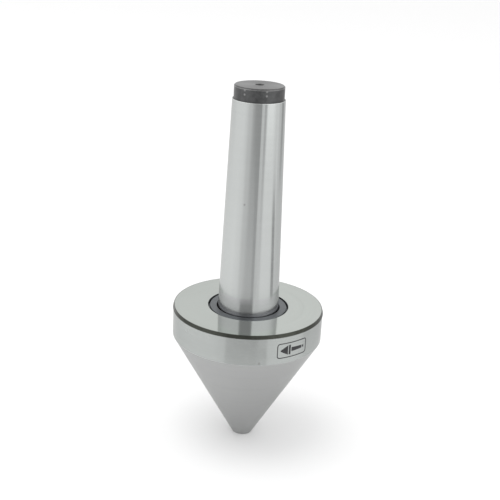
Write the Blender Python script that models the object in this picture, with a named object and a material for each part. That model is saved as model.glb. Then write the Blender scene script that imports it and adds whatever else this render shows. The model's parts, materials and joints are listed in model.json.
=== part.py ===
"""Revolving lathe center: a 60-degree cone head that turns on bearings around a Morse taper No. 3 arbor.

Metres, +Z up along the axis, from the head's blunt tip towards the shank's small end.
The origin is the middle of the tip's flat face, so the center stands on its tip at z = 0.
Radii are measured from the axis, and heights from the tip.
"""
from math import acos, cos, degrees, pi, radians, sin, tan

import bmesh
import bpy
from mathutils import Matrix, Vector

# Fits: the gap between a piece and the seat it is pressed on or rests against.
SEAT_GAP = 0.0002
BALL_GAP = 0.0002
WELD = 1e-7

# Head, outside.
CONE_HALF_ANGLE = radians(30)
TIP_RADIUS = 0.0041
TIP_BREAK = 0.00015
RIM_RADIUS = 0.0298
BAND_RADIUS = 0.0300
BAND_BOTTOM = 0.0553
BAND_TOP_RADIUS = 0.02955
BACK_FACE = 0.0567

# Head, inside: a bore in four steps, opened from the back face.
RECESS_RADIUS = 0.0160
RECESS_BREAK = 0.0002
THRUST_BORE_RADIUS = 0.0130
FRONT_BORE_RADIUS = 0.0110
POCKET_RADIUS = 0.0085
POCKET_DEPTH = 0.0038

# Morse taper No. 3 shank (DIN 228-1): diameter at the gauge plane, taper on diameter, length to the end.
GAUGE_RADIUS = 0.023825 / 2
TAPER_PER_RADIUS = 1 / 19.922 / 2
GAUGE_PLANE = 0.0638
SHANK_END = GAUGE_PLANE + 0.081
STUB_RADIUS = 0.0095
STUB_LENGTH = 0.0052
STUB_BREAK = 0.0004
TAPER_BREAK = 0.0004

# Center hole in both ends of the arbor: pilot drill and 60-degree countersink.
CENTER_PILOT_RADIUS = 0.0008
CENTER_MOUTH_RADIUS = 0.0017
CENTER_DEPTH = 0.0044

# Arbor below the gauge plane: collar, land, and journals of 15, 12 and 8 mm.
COLLAR_BREAK = 0.0002
LAND_RADIUS = 0.0096
REAR_JOURNAL_RADIUS = 0.0075
THRUST_JOURNAL_RADIUS = 0.0060
FRONT_JOURNAL_RADIUS = 0.0040
NOSE_BREAK = 0.0004
NOSE_PAST_BEARING = 0.0024

# Bearings, by middle height, width, ball and pitch circle: 15 x 32 x 9, 12 x 26 x 9 and 8 x 22 x 7.
REAR_MIDDLE = 0.0473
REAR_WIDTH = 0.0090
REAR_BALLS = 9
REAR_BALL_RADIUS = 0.00238
REAR_PITCH_RADIUS = 0.01175
REAR_OUTER_SHOULDER = 0.0135
REAR_INNER_SHOULDER = 0.0100

THRUST_MIDDLE = 0.0356
THRUST_WIDTH = 0.0090
THRUST_BALLS = 10
THRUST_BALL_RADIUS = 0.001985
THRUST_PITCH_RADIUS = 0.0095
THRUST_WASHER = 0.0028
HOUSING_WASHER_BORE = 0.0070
SHAFT_WASHER_OUTER = 0.0125
THRUST_CAGE_INNER = 0.0069
THRUST_CAGE_OUTER = 0.0121

FRONT_MIDDLE = 0.0271
FRONT_WIDTH = 0.0070
FRONT_BALLS = 7
FRONT_BALL_RADIUS = 0.001985
FRONT_PITCH_RADIUS = 0.0075
FRONT_OUTER_SHOULDER = 0.0090
FRONT_INNER_SHOULDER = 0.0060

RING_BREAK = 0.0003

# Cages: half heights, clearance between a radial cage and the ring shoulders, and room around each ball.
REAR_CAGE_HALF = 0.0032
REAR_CAGE_CLEARANCE = 0.0005
THRUST_CAGE_HALF = 0.0012
FRONT_CAGE_HALF = 0.0027
FRONT_CAGE_CLEARANCE = 0.0004
POCKET_GAP = 0.0002

# Retaining rings: thickness, groove depth, how far the ring reaches into its groove, the band's free edge,
# the lugs' reach, half the opening and a lug's width.
HEAD_CIRCLIP_THICKNESS = 0.0012
HEAD_GROOVE_DEPTH = 0.00085
HEAD_CIRCLIP_BITE = 0.00065
HEAD_CIRCLIP_BACK = 0.0141
HEAD_CIRCLIP_LUG = 0.0127
HEAD_CIRCLIP_GAP = radians(6)
HEAD_LUG_WIDTH = radians(13)

JOURNAL_CIRCLIP_THICKNESS = 0.0010
JOURNAL_GROOVE_DEPTH = 0.00035
JOURNAL_CIRCLIP_BITE = 0.0002
JOURNAL_CIRCLIP_BACK = 0.0093
JOURNAL_CIRCLIP_LUG = 0.0108
JOURNAL_CIRCLIP_GAP = radians(8)
JOURNAL_LUG_WIDTH = radians(19)

NOSE_CIRCLIP_THICKNESS = 0.0008
NOSE_GROOVE_DEPTH = 0.0002
NOSE_CIRCLIP_BITE = 0.00005
NOSE_CIRCLIP_BACK = 0.0053
NOSE_CIRCLIP_LUG = 0.0068
NOSE_CIRCLIP_GAP = radians(12)
NOSE_LUG_WIDTH = radians(30)

GROOVE_PLAY = 0.00015
PIN_HOLE_SHARE = 0.28  # a plier hole's radius, as a share of its lug's width

# Dust ring in the recess: a flange pressed in the bore, and a narrower land level with the back face.
DUST_RING_TOP = 0.0565
DUST_RING_BOTTOM = 0.0543
DUST_FLANGE_TOP = 0.0555
DUST_BORE_RADIUS = 0.0125
DUST_LAND_RADIUS = 0.0153
DUST_BREAK = 0.0002

# How finely the round pieces are turned.
HEAD_SEGMENTS = 48
ARBOR_SEGMENTS = 40
RING_SEGMENTS = 32
SMALL_RING_SEGMENTS = 28
GROOVE_STEPS = 4
CIRCLIP_STEPS = 20
PIN_HOLE_SEGMENTS = 8
CAGE_HOLE_SEGMENTS = 12
BALL_SEGMENTS = 10
BALL_RINGS = 6
SHARP_ANGLE = radians(32)

GROUND_STEEL = ("ground_steel", (0.62, 0.63, 0.62), 0.28, 1.0)
HEAD_STEEL = ("head_steel", (0.56, 0.57, 0.56), 0.32, 1.0)
DARK_STEEL = ("dark_ring_steel", (0.10, 0.10, 0.11), 0.45, 0.8)
BEARING_STEEL = ("bearing_steel", (0.66, 0.66, 0.66), 0.18, 1.0)
BALL_STEEL = ("ball_steel", (0.72, 0.72, 0.73), 0.08, 1.0)
SPRING_STEEL = ("spring_steel", (0.12, 0.12, 0.13), 0.40, 0.9)
CAGE_BRASS = ("cage_brass", (0.66, 0.52, 0.27), 0.35, 1.0)


def clear_scene():
    for obj in list(bpy.data.objects):
        bpy.data.objects.remove(obj, do_unlink=True)


def material(finish):
    """The Principled material for a finish of (name, colour, roughness, metallic), made once."""
    name, colour, roughness, metallic = finish
    found = bpy.data.materials.get(name)
    if found:
        return found
    made = bpy.data.materials.new(name)
    made.use_nodes = True
    shader = made.node_tree.nodes["Principled BSDF"]
    shader.inputs["Base Color"].default_value = (*colour, 1.0)
    shader.inputs["Roughness"].default_value = roughness
    shader.inputs["Metallic"].default_value = metallic
    return made


def axis_empty(name, height):
    """An empty on the axis, which carries one moving body."""
    empty = bpy.data.objects.new(name, None)
    empty.location = (0.0, 0.0, height)
    bpy.context.scene.collection.objects.link(empty)
    return empty


def mesh_from(name, bm):
    mesh = bpy.data.meshes.new(name)
    bm.to_mesh(mesh)
    bm.free()
    return mesh


def place(name, mesh, finish, location, parent):
    """Puts a mesh in the scene at a place given from the world's origin, under its body's empty."""
    if finish and not mesh.materials:
        mesh.materials.append(material(finish))
    mesh.shade_smooth()
    mesh.set_sharp_from_angle(angle=SHARP_ANGLE)
    obj = bpy.data.objects.new(name, mesh)
    bpy.context.scene.collection.objects.link(obj)
    obj.location = location
    if parent:
        obj.parent = parent
        obj.location = Vector(location) - parent.location
    return obj


def turned(profile, segments):
    """A solid turned about Z from (radius, height) points: a ring, or an outline that ends on the axis."""
    bm = bmesh.new()
    points = [bm.verts.new((radius, 0.0, height)) for radius, height in profile]
    pairs = list(zip(points, points[1:]))
    if profile[0][0] > 0.0:
        pairs.append((points[-1], points[0]))
    edges = [bm.edges.new(pair) for pair in pairs]
    bmesh.ops.spin(
        bm, geom=points + edges, cent=(0, 0, 0), axis=(0, 0, 1), angle=2 * pi, steps=segments, use_merge=True
    )
    bmesh.ops.remove_doubles(bm, verts=bm.verts, dist=WELD)
    bmesh.ops.recalc_face_normals(bm, faces=bm.faces)
    return bm


def lathe(name, profile, segments, finish, parent, height=0.0):
    """A turned piece, whose profile is measured from the given height on the axis."""
    mesh = mesh_from(name, turned(profile, segments))
    return place(name, mesh, finish, (0.0, 0.0, height), parent)


def arc(radius_at, height_at, radius, start, end):
    """Points of an arc in the profile plane, from one angle to another, in degrees from +r towards +z."""
    angles = [radians(start + (end - start) * step / GROOVE_STEPS) for step in range(GROOVE_STEPS + 1)]
    return [(radius_at + radius * cos(a), height_at + radius * sin(a)) for a in angles]


def taper_radius(height):
    """The Morse taper's radius, which shrinks from the gauge plane towards the small end."""
    return GAUGE_RADIUS - (height - GAUGE_PLANE) * TAPER_PER_RADIUS


def center_hole(face, inward):
    """A center hole's outline, from its bottom on the axis to its mouth in an end face."""
    sink = (CENTER_MOUTH_RADIUS - CENTER_PILOT_RADIUS) / tan(CONE_HALF_ANGLE)
    point = CENTER_PILOT_RADIUS * tan(CONE_HALF_ANGLE)
    return [
        (0.0, face + inward * (CENTER_DEPTH + point)),
        (CENTER_PILOT_RADIUS, face + inward * CENTER_DEPTH),
        (CENTER_PILOT_RADIUS, face + inward * sink),
        (CENTER_MOUTH_RADIUS, face),
    ]


def journal_groove(radius, depth, middle, thickness):
    """A retaining-ring groove in a journal, from its upper edge down."""
    half = thickness / 2 + GROOVE_PLAY
    return [
        (radius, middle + half),
        (radius - depth, middle + half),
        (radius - depth, middle - half),
        (radius, middle - half),
    ]


def levels():
    """Heights on the axis that follow from the bearings and the gaps at their seats."""
    rear_top = REAR_MIDDLE + REAR_WIDTH / 2
    rear_bottom = REAR_MIDDLE - REAR_WIDTH / 2
    thrust_top = THRUST_MIDDLE + THRUST_WIDTH / 2
    thrust_bottom = THRUST_MIDDLE - THRUST_WIDTH / 2
    front_top = FRONT_MIDDLE + FRONT_WIDTH / 2
    front_bottom = FRONT_MIDDLE - FRONT_WIDTH / 2
    return {
        "land_bottom": rear_top + SEAT_GAP,
        "collar_bottom": DUST_RING_BOTTOM - SEAT_GAP,
        "head_circlip": rear_top + SEAT_GAP + HEAD_CIRCLIP_THICKNESS / 2,
        "journal_circlip": rear_bottom - SEAT_GAP - JOURNAL_CIRCLIP_THICKNESS / 2,
        "rear_step": rear_bottom - SEAT_GAP,
        "thrust_shoulder": thrust_top + SEAT_GAP,
        "thrust_step": thrust_bottom - SEAT_GAP,
        "front_shoulder": front_top + SEAT_GAP,
        "front_step": front_bottom - SEAT_GAP,
        "nose_circlip": front_bottom - SEAT_GAP - NOSE_CIRCLIP_THICKNESS / 2,
        "nose": front_bottom - NOSE_PAST_BEARING,
        "pocket_bottom": front_bottom - SEAT_GAP - POCKET_DEPTH,
    }


def make_arbor(at):
    """One hardened bar: dark stub, ground Morse taper, its collar, and the journals inside the head.

    The collar carries the taper on past the gauge plane to the dust ring.
    """
    taper_end = SHANK_END - STUB_LENGTH
    collar_edge = at["collar_bottom"] + COLLAR_BREAK
    profile = center_hole(SHANK_END, -1)
    profile += [
        (STUB_RADIUS - STUB_BREAK, SHANK_END),
        (STUB_RADIUS, SHANK_END - STUB_BREAK),
        (STUB_RADIUS, taper_end),
        (taper_radius(taper_end) - TAPER_BREAK, taper_end),
        (taper_radius(taper_end - TAPER_BREAK), taper_end - TAPER_BREAK),
        (GAUGE_RADIUS, GAUGE_PLANE),
        (taper_radius(collar_edge), collar_edge),
        (taper_radius(collar_edge) - COLLAR_BREAK, at["collar_bottom"]),
        (LAND_RADIUS, at["collar_bottom"]),
        (LAND_RADIUS, at["land_bottom"]),
        (REAR_JOURNAL_RADIUS, at["land_bottom"]),
    ]
    profile += journal_groove(
        REAR_JOURNAL_RADIUS, JOURNAL_GROOVE_DEPTH, at["journal_circlip"], JOURNAL_CIRCLIP_THICKNESS
    )
    profile += [
        (REAR_JOURNAL_RADIUS, at["thrust_shoulder"]),
        (THRUST_JOURNAL_RADIUS, at["thrust_shoulder"]),
        (THRUST_JOURNAL_RADIUS, at["front_shoulder"]),
        (FRONT_JOURNAL_RADIUS, at["front_shoulder"]),
    ]
    profile += journal_groove(
        FRONT_JOURNAL_RADIUS, NOSE_GROOVE_DEPTH, at["nose_circlip"], NOSE_CIRCLIP_THICKNESS
    )
    profile += [
        (FRONT_JOURNAL_RADIUS, at["nose"] + NOSE_BREAK),
        (FRONT_JOURNAL_RADIUS - NOSE_BREAK, at["nose"]),
    ]
    profile += reversed(center_hole(at["nose"], 1))
    lathe("arbor", profile, ARBOR_SEGMENTS, GROUND_STEEL, None)


def make_cone_head(at, head):
    """The revolving head: cone, rim and edge band outside, and the stepped bearing bore inside."""
    rim_bottom = (RIM_RADIUS - TIP_RADIUS) / tan(CONE_HALF_ANGLE)
    half_groove = HEAD_CIRCLIP_THICKNESS / 2 + GROOVE_PLAY
    profile = [
        (0.0, 0.0),
        (TIP_RADIUS - TIP_BREAK, 0.0),
        (TIP_RADIUS + TIP_BREAK * tan(CONE_HALF_ANGLE), TIP_BREAK),
        (RIM_RADIUS, rim_bottom),
        (RIM_RADIUS, BAND_BOTTOM),
        (BAND_RADIUS, BAND_BOTTOM),
        (BAND_TOP_RADIUS, BACK_FACE),
        (RECESS_RADIUS + RECESS_BREAK, BACK_FACE),
        (RECESS_RADIUS, BACK_FACE - RECESS_BREAK),
        (RECESS_RADIUS, at["head_circlip"] + half_groove),
        (RECESS_RADIUS + HEAD_GROOVE_DEPTH, at["head_circlip"] + half_groove),
        (RECESS_RADIUS + HEAD_GROOVE_DEPTH, at["head_circlip"] - half_groove),
        (RECESS_RADIUS, at["head_circlip"] - half_groove),
        (RECESS_RADIUS, at["rear_step"]),
        (THRUST_BORE_RADIUS, at["rear_step"]),
        (THRUST_BORE_RADIUS, at["thrust_step"]),
        (FRONT_BORE_RADIUS, at["thrust_step"]),
        (FRONT_BORE_RADIUS, at["front_step"]),
        (POCKET_RADIUS, at["front_step"]),
        (POCKET_RADIUS, at["pocket_bottom"]),
        (0.0, at["pocket_bottom"]),
    ]
    lathe("cone_head", profile, HEAD_SEGMENTS, HEAD_STEEL, head)


def make_dust_ring(head):
    flange_radius = RECESS_RADIUS - SEAT_GAP
    profile = [
        (DUST_BORE_RADIUS, DUST_RING_BOTTOM),
        (flange_radius, DUST_RING_BOTTOM),
        (flange_radius, DUST_FLANGE_TOP),
        (DUST_LAND_RADIUS, DUST_FLANGE_TOP),
        (DUST_LAND_RADIUS, DUST_RING_TOP - DUST_BREAK),
        (DUST_LAND_RADIUS - DUST_BREAK, DUST_RING_TOP),
        (DUST_BORE_RADIUS + DUST_BREAK, DUST_RING_TOP),
        (DUST_BORE_RADIUS, DUST_RING_TOP - DUST_BREAK),
    ]
    lathe("dust_ring", profile, ARBOR_SEGMENTS, DARK_STEEL, head)


def make_outer_ring(name, middle, width, seat, shoulder, pitch, ball, segments, parent):
    """A deep-groove bearing's outer ring, with its raceway on the inside."""
    groove = ball + BALL_GAP
    edge = degrees(acos((shoulder - pitch) / groove))
    half = width / 2
    profile = [
        (shoulder, -half),
        (seat - RING_BREAK, -half),
        (seat, RING_BREAK - half),
        (seat, half - RING_BREAK),
        (seat - RING_BREAK, half),
        (shoulder, half),
    ]
    profile += arc(pitch, 0.0, groove, edge, -edge)
    lathe(name, profile, segments, BEARING_STEEL, parent, middle)


def make_inner_ring(name, middle, width, seat, shoulder, pitch, ball, segments):
    """A deep-groove bearing's inner ring, with its raceway on the outside."""
    groove = ball + BALL_GAP
    edge = degrees(acos((pitch - shoulder) / groove))
    half = width / 2
    profile = [
        (shoulder, half),
        (seat + RING_BREAK, half),
        (seat, half - RING_BREAK),
        (seat, RING_BREAK - half),
        (seat + RING_BREAK, -half),
        (shoulder, -half),
    ]
    profile += arc(pitch, 0.0, groove, 180 + edge, 180 - edge)
    lathe(name, profile, segments, BEARING_STEEL, None, middle)


def make_thrust_washer(name, bore, outer, side, parent):
    """A thrust bearing washer above (+1) or below (-1) the balls, with its raceway facing them."""
    far = THRUST_WIDTH / 2
    near = far - THRUST_WASHER
    groove = THRUST_BALL_RADIUS + BALL_GAP
    edge = degrees(acos(near / groove))
    raceway = arc(THRUST_PITCH_RADIUS, 0.0, groove, 90 - edge, 90 + edge)
    profile = [(bore, near), (bore, far - RING_BREAK), (bore + RING_BREAK, far)]
    profile += [(outer - RING_BREAK, far), (outer, far - RING_BREAK), (outer, near)]
    profile += raceway
    mirrored = [(radius, side * height) for radius, height in profile]
    lathe(name, mirrored, SMALL_RING_SEGMENTS, BEARING_STEEL, parent, THRUST_MIDDLE)


def spaced_angles(count):
    return [2 * pi * index / count for index in range(count)]


def make_cage(name, middle, inner, outer, half_height, balls, pitch, ball, upright, parent):
    """A turned cage ring with one round pocket for each ball, drilled upright or from the side."""
    ring = [(inner, -half_height), (outer, -half_height), (outer, half_height), (inner, half_height)]
    cage = lathe(name, ring, SMALL_RING_SEGMENTS, CAGE_BRASS, parent, middle)
    bm = bmesh.new()
    lean = Matrix.Identity(4) if upright else Matrix.Rotation(pi / 2, 4, "Y")
    for angle in spaced_angles(balls):
        matrix = Matrix.Rotation(angle, 4, "Z") @ Matrix.Translation((pitch, 0.0, 0.0)) @ lean
        radius = ball + POCKET_GAP
        bmesh.ops.create_cone(
            bm,
            cap_ends=True,
            segments=CAGE_HOLE_SEGMENTS,
            radius1=radius,
            radius2=radius,
            depth=2 * ball + 2 * POCKET_GAP,
            matrix=matrix,
        )
    drill = place(f"{name}_pockets", mesh_from(f"{name}_pockets", bm), None, (0.0, 0.0, middle), parent)
    drill_out(cage, drill)


def drill_out(piece, drill):
    """Cuts a hidden tool out of a piece."""
    drill.hide_render = True
    drill.display_type = "WIRE"
    cut = piece.modifiers.new("pockets", "BOOLEAN")
    cut.operation = "DIFFERENCE"
    cut.solver = "EXACT"
    cut.object = drill


def make_balls(prefix, count, middle, pitch, ball, parent):
    bm = bmesh.new()
    bmesh.ops.create_uvsphere(bm, u_segments=BALL_SEGMENTS, v_segments=BALL_RINGS, radius=ball)
    mesh = mesh_from(prefix, bm)
    for index, angle in enumerate(spaced_angles(count), start=1):
        spot = (pitch * cos(angle), pitch * sin(angle), middle)
        place(f"{prefix}_{index}", mesh, BALL_STEEL, spot, parent)


def make_circlip(name, middle, thickness, seat, back, lug, gap, lug_width, parent):
    """A retaining ring, open at +Y, with a lug and a plier hole at each end.

    seat is the radius in the groove, back the band's other edge, and lug how far the lugs reach.
    gap is half the opening and lug_width a lug's width, both as angles.
    """
    opening = pi / 2

    def sweep(radius, start, end):
        steps = [start + (end - start) * step / CIRCLIP_STEPS for step in range(CIRCLIP_STEPS + 1)]
        return [(radius * cos(angle), radius * sin(angle)) for angle in steps]

    def corner(radius, angle):
        return [(radius * cos(angle), radius * sin(angle))]

    first = opening + gap
    last = opening + 2 * pi - gap
    outline = sweep(seat, first, last)
    outline += corner(lug, last) + corner(lug, last - lug_width)
    outline += sweep(back, last - lug_width, first + lug_width)
    outline += corner(lug, first + lug_width) + corner(lug, first)

    bm = bmesh.new()
    face = bm.faces.new([bm.verts.new((x, y, -thickness / 2)) for x, y in outline])
    raised = bmesh.ops.extrude_face_region(bm, geom=[face])["geom"]
    upper = [item for item in raised if isinstance(item, bmesh.types.BMVert)]
    bmesh.ops.translate(bm, vec=(0.0, 0.0, thickness), verts=upper)
    bmesh.ops.recalc_face_normals(bm, faces=bm.faces)
    circlip = place(name, mesh_from(name, bm), SPRING_STEEL, (0.0, 0.0, middle), parent)

    hole_at = (lug + back) / 2
    hole_radius = hole_at * lug_width * PIN_HOLE_SHARE
    holes = bmesh.new()
    for angle in (first + lug_width / 2, last - lug_width / 2):
        bmesh.ops.create_cone(
            holes,
            cap_ends=True,
            segments=PIN_HOLE_SEGMENTS,
            radius1=hole_radius,
            radius2=hole_radius,
            depth=2 * thickness,
            matrix=Matrix.Translation((hole_at * cos(angle), hole_at * sin(angle), 0.0)),
        )
    drill = place(f"{name}_holes", mesh_from(f"{name}_holes", holes), None, (0.0, 0.0, middle), parent)
    drill_out(circlip, drill)


def make_rear_bearing(head, cage):
    make_outer_ring(
        "rear_bearing_outer_ring", REAR_MIDDLE, REAR_WIDTH, RECESS_RADIUS - SEAT_GAP, REAR_OUTER_SHOULDER,
        REAR_PITCH_RADIUS, REAR_BALL_RADIUS, RING_SEGMENTS, head,
    )
    make_inner_ring(
        "rear_bearing_inner_ring", REAR_MIDDLE, REAR_WIDTH, REAR_JOURNAL_RADIUS + SEAT_GAP,
        REAR_INNER_SHOULDER, REAR_PITCH_RADIUS, REAR_BALL_RADIUS, RING_SEGMENTS,
    )
    make_cage(
        "rear_bearing_cage", REAR_MIDDLE, REAR_INNER_SHOULDER + REAR_CAGE_CLEARANCE,
        REAR_OUTER_SHOULDER - REAR_CAGE_CLEARANCE, REAR_CAGE_HALF, REAR_BALLS, REAR_PITCH_RADIUS,
        REAR_BALL_RADIUS, False, cage,
    )
    make_balls("rear_bearing_ball", REAR_BALLS, REAR_MIDDLE, REAR_PITCH_RADIUS, REAR_BALL_RADIUS, cage)


def make_thrust_bearing(head, cage):
    make_thrust_washer(
        "thrust_housing_washer", HOUSING_WASHER_BORE, THRUST_BORE_RADIUS - SEAT_GAP, -1, head
    )
    make_thrust_washer(
        "thrust_shaft_washer", THRUST_JOURNAL_RADIUS + SEAT_GAP, SHAFT_WASHER_OUTER, 1, None
    )
    make_cage(
        "thrust_bearing_cage", THRUST_MIDDLE, THRUST_CAGE_INNER, THRUST_CAGE_OUTER, THRUST_CAGE_HALF,
        THRUST_BALLS, THRUST_PITCH_RADIUS, THRUST_BALL_RADIUS, True, cage,
    )
    make_balls(
        "thrust_bearing_ball", THRUST_BALLS, THRUST_MIDDLE, THRUST_PITCH_RADIUS, THRUST_BALL_RADIUS, cage
    )


def make_front_bearing(head, cage):
    make_outer_ring(
        "front_bearing_outer_ring", FRONT_MIDDLE, FRONT_WIDTH, FRONT_BORE_RADIUS - SEAT_GAP,
        FRONT_OUTER_SHOULDER, FRONT_PITCH_RADIUS, FRONT_BALL_RADIUS, SMALL_RING_SEGMENTS, head,
    )
    make_inner_ring(
        "front_bearing_inner_ring", FRONT_MIDDLE, FRONT_WIDTH, FRONT_JOURNAL_RADIUS + SEAT_GAP,
        FRONT_INNER_SHOULDER, FRONT_PITCH_RADIUS, FRONT_BALL_RADIUS, SMALL_RING_SEGMENTS,
    )
    make_cage(
        "front_bearing_cage", FRONT_MIDDLE, FRONT_INNER_SHOULDER + FRONT_CAGE_CLEARANCE,
        FRONT_OUTER_SHOULDER - FRONT_CAGE_CLEARANCE, FRONT_CAGE_HALF, FRONT_BALLS, FRONT_PITCH_RADIUS,
        FRONT_BALL_RADIUS, False, cage,
    )
    make_balls("front_bearing_ball", FRONT_BALLS, FRONT_MIDDLE, FRONT_PITCH_RADIUS, FRONT_BALL_RADIUS, cage)


def make_circlips(at, head):
    make_circlip(
        "head_circlip", at["head_circlip"], HEAD_CIRCLIP_THICKNESS, RECESS_RADIUS + HEAD_CIRCLIP_BITE,
        HEAD_CIRCLIP_BACK, HEAD_CIRCLIP_LUG, HEAD_CIRCLIP_GAP, HEAD_LUG_WIDTH, head,
    )
    make_circlip(
        "journal_circlip", at["journal_circlip"], JOURNAL_CIRCLIP_THICKNESS,
        REAR_JOURNAL_RADIUS - JOURNAL_CIRCLIP_BITE, JOURNAL_CIRCLIP_BACK, JOURNAL_CIRCLIP_LUG,
        JOURNAL_CIRCLIP_GAP, JOURNAL_LUG_WIDTH, None,
    )
    make_circlip(
        "nose_circlip", at["nose_circlip"], NOSE_CIRCLIP_THICKNESS,
        FRONT_JOURNAL_RADIUS - NOSE_CIRCLIP_BITE, NOSE_CIRCLIP_BACK, NOSE_CIRCLIP_LUG,
        NOSE_CIRCLIP_GAP, NOSE_LUG_WIDTH, None,
    )


def main():
    clear_scene()
    at = levels()
    head = axis_empty("head_axis", BACK_FACE)
    rear_cage = axis_empty("rear_cage_axis", REAR_MIDDLE)
    thrust_cage = axis_empty("thrust_cage_axis", THRUST_MIDDLE)
    front_cage = axis_empty("front_cage_axis", FRONT_MIDDLE)
    make_arbor(at)
    make_cone_head(at, head)
    make_dust_ring(head)
    make_rear_bearing(head, rear_cage)
    make_thrust_bearing(head, thrust_cage)
    make_front_bearing(head, front_cage)
    make_circlips(at, head)
    bpy.context.view_layer.update()


main()
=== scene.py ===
"""Looks for a revolving lathe center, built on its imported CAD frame.

Metres, +Z up along the axis, with the origin in the middle of the tip's face. Radii are measured from the
axis. Azimuths run round the axis in degrees, from the camera's side (-Y) towards +X.
"""

import json
from collections import namedtuple
from math import acos, atan2, cos, degrees, hypot, pi, radians, sin, tan

import bmesh
import bpy
from mathutils import Matrix, Vector


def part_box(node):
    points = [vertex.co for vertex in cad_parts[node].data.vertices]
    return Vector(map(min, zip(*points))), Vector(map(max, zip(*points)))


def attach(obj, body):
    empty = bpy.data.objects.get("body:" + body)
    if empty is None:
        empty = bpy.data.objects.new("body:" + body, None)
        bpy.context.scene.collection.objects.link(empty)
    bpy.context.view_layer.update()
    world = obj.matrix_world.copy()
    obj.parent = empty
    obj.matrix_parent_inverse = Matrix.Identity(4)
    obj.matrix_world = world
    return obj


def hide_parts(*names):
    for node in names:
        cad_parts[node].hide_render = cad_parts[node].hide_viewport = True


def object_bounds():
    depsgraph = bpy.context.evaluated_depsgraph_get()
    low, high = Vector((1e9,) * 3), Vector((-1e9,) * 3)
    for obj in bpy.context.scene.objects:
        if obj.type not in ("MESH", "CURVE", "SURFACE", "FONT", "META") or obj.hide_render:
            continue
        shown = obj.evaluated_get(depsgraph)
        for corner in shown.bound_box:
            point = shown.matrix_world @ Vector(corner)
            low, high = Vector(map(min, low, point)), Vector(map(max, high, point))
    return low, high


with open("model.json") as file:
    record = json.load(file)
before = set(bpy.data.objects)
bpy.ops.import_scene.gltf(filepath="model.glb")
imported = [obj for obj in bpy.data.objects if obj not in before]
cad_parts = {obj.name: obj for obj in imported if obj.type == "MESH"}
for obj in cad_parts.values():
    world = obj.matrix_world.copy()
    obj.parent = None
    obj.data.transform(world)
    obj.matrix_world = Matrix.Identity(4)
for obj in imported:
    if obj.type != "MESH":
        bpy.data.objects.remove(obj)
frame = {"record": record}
CAD_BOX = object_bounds()
RECORD = frame["record"]

# Camera: where it stands, what it looks at, and how far it leans about its own line of sight.
CAMERA_PLACE = Vector((0.0, -0.353951, 0.207279))
CAMERA_TARGET = Vector((-0.000431, 0.0, 0.079884))
CAMERA_ROLL = radians(2.983)
CAMERA_LENS = 69.17
CAMERA_SENSOR = 36.0
CAMERA_NEAR, CAMERA_FAR = 0.01, 50.0

# How finely the pieces are made, from which angle a cut edge is sharp, and how close counts as one place or
# as straight on (in radians).
BODY_SEGMENTS = 256
RING_SEGMENTS = 128
POCKET_SEGMENTS = 40
PLIER_HOLE_SEGMENTS = 24
CORNER_STEPS = 5
RACE_STEPS = 16
BALL_CUTS = 11
CUT_SHARP_FROM = radians(32)
MARK_SHARP_FROM = radians(40)
SAME_PLACE = 1e-9
STRAIGHT_ON = 1e-4

# Head, outside. The heights of its back face and tip come from the frame.
CONE_HALF_ANGLE = radians(30)
TIP_RADIUS = 0.0041
RIM_RADIUS = 0.0298
BAND_HEIGHT = 0.0014
BAND_TOP_RADIUS = 0.02955
BAND_STAIN = 0.00020

# Head, inside.
RECESS_RADIUS = 0.0160
THRUST_BORE_RADIUS = 0.0130
FRONT_BORE_RADIUS = 0.0110
POCKET_RADIUS = 0.0085
POCKET_DEPTH = 0.0038
HEAD_GROOVE_DEPTH = 0.00085

# Morse taper No. 3 shank, with its stub and the center hole at each end.
GAUGE_RADIUS = 0.023825 / 2
TAPER_PER_RADIUS = 1 / 19.922 / 2
STUB_RADIUS = 0.0095
STUB_LENGTH = 0.0052
STUB_BREAK = 0.0004
STUB_WORN = 0.0003
CENTER_PILOT_RADIUS = 0.0008
CENTER_MOUTH_RADIUS = 0.0017
CENTER_DEPTH = 0.0044

# Arbor below the gauge plane, where the taper runs on to the dust ring as a collar.
LAND_RADIUS = 0.0096
REAR_JOURNAL_RADIUS = 0.0075
THRUST_JOURNAL_RADIUS = 0.0060
FRONT_JOURNAL_RADIUS = 0.0040
JOURNAL_GROOVE_DEPTH = 0.00035
NOSE_GROOVE_DEPTH = 0.0002
SEAT_GAP = 0.0002
GROOVE_PLAY = 0.00015

# Bearings: how many balls, their radius, the pitch circle's, the shoulders of the rings and the cage's bore.
Bearing = namedtuple("Bearing", "count ball pitch outer_shoulder inner_shoulder cage_bore")
REAR = Bearing(9, 0.00238, 0.01175, 0.0135, 0.0100, 0.0105)
THRUST = Bearing(10, 0.001985, 0.0095, None, None, 0.0069)
FRONT = Bearing(7, 0.001985, 0.0075, 0.0090, 0.0060, 0.0064)
HOUSING_WASHER_BORE = 0.0070
RACE_GAP = 0.0002

# Dust ring.
DUST_BORE_RADIUS = 0.0125
DUST_LAND_RADIUS = 0.0153
DUST_LAND_HEIGHT = 0.0010

# Retaining rings, open towards +Y: their body, the radii of seat, back and lugs, and then in degrees half
# the gap and the width of a lug.
CIRCLIPS = {
    "head_circlip": ("head", 0.01665, 0.0141, 0.0127, 6, 13),
    "journal_circlip": ("arbor", 0.0073, 0.0093, 0.0108, 8, 19),
    "nose_circlip": ("arbor", 0.00395, 0.0053, 0.0068, 12, 30),
}
CIRCLIP_STEP = 1.5
LUG_RAMP = 0.35
PLIER_HOLE_SHARE = 0.28

# Rounded edges, from the finest to the coarsest.
FINE_EDGE = 0.00006
SOFT_EDGE = 0.00015
BROKEN_EDGE = 0.00030

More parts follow.
